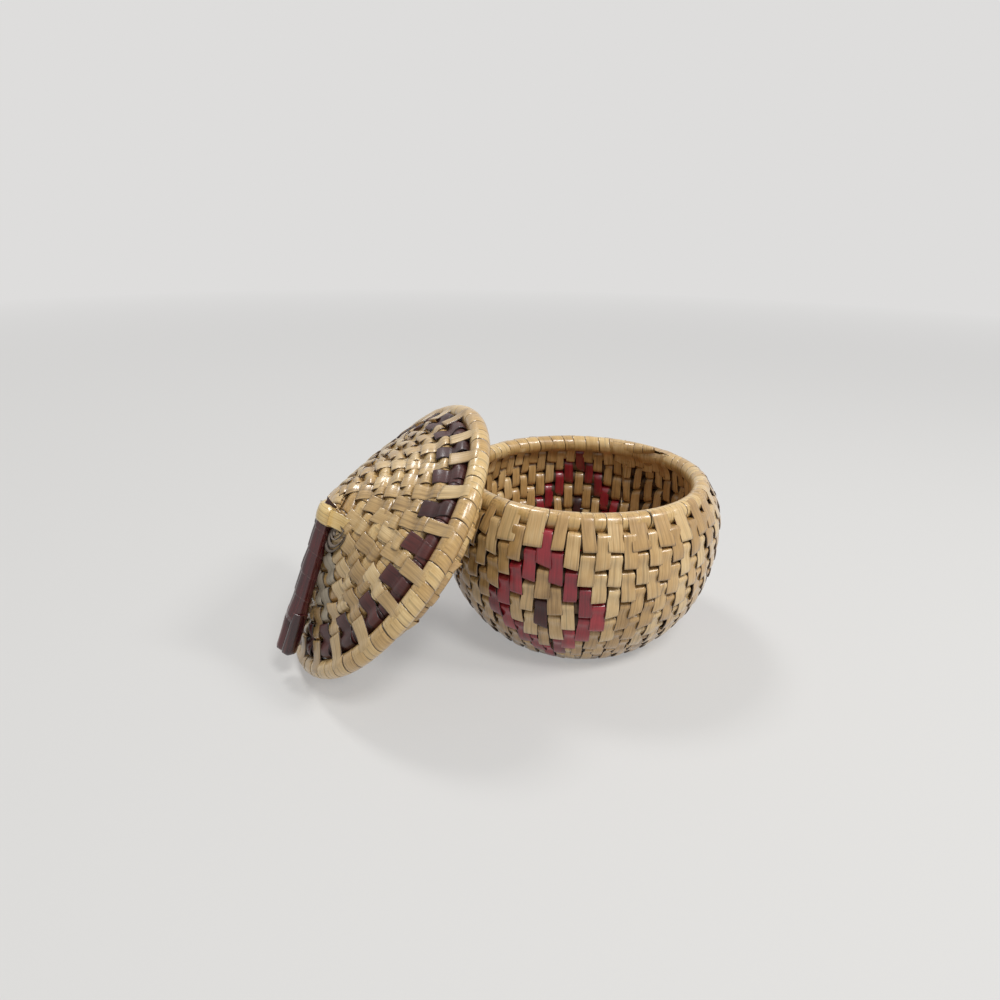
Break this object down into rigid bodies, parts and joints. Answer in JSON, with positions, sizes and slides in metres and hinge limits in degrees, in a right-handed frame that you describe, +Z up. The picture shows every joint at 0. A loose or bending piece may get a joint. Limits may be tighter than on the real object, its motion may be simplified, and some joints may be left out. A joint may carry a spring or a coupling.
{
  "type": "coiled lidded basket",
  "caption": "Round coiled grass basket with stepped diamonds and a low conical lid that leans on its rim and has a tied-on handle.",
  "frame": {"origin": "centre of the bowl's base, on the surface that it stands on", "axes": "+Z up along the bowl's axis, -Y to the front, where one diamond shows; the lid leans on the bowl's left side, towards -X"},
  "size_m": [0.1862, 0.1463, 0.101],
  "materials": {
    "tan_splint": "satin split leaf over a grass bundle",
    "red_splint": "satin dyed split leaf",
    "dark_brown_splint": "satin dyed split leaf",
    "maroon_strip": "satin dyed strip, wrapped lengthwise"
  },
  "bodies": {
    "bowl": {"bowl_start_knot": "tan_splint", "bowl_base_coil": "tan_splint", "bowl_wall_coil": "tan_splint", "bowl_rim_coil": "tan_splint", "red_diamond_front": "red_splint", "red_diamond_right": "red_splint", "red_diamond_back": "red_splint", "red_diamond_left": "red_splint", "brown_centre_front": "dark_brown_splint", "brown_centre_right": "dark_brown_splint", "brown_centre_back": "dark_brown_splint", "brown_centre_left": "dark_brown_splint"},
    "lid": {"lid_start_knot": "tan_splint", "lid_cone_coil": "tan_splint", "lid_dark_stitches": "dark_brown_splint", "lid_rim_coil": "tan_splint", "lid_flange_coil": "tan_splint", "handle_tie": "tan_splint"},
    "handle": {"handle_root_band": "tan_splint", "handle_core": "tan_splint", "handle_wrap": "maroon_strip", "handle_end_fold": "maroon_strip"}
  },
  "joints": [
    {"name": "lid_lift", "type": "slide", "parent": "bowl", "child": "lid", "axis": [0, 0, 1], "range_m": [0, 0.12]},
    {"name": "handle_swing", "type": "hinge", "parent": "lid", "child": "handle", "pos_m": [-0.10195, -0.04327, 0.06937], "axis": [-0.6275, 0.7757, 0.0667], "range_deg": [0, 75]}
  ]
}
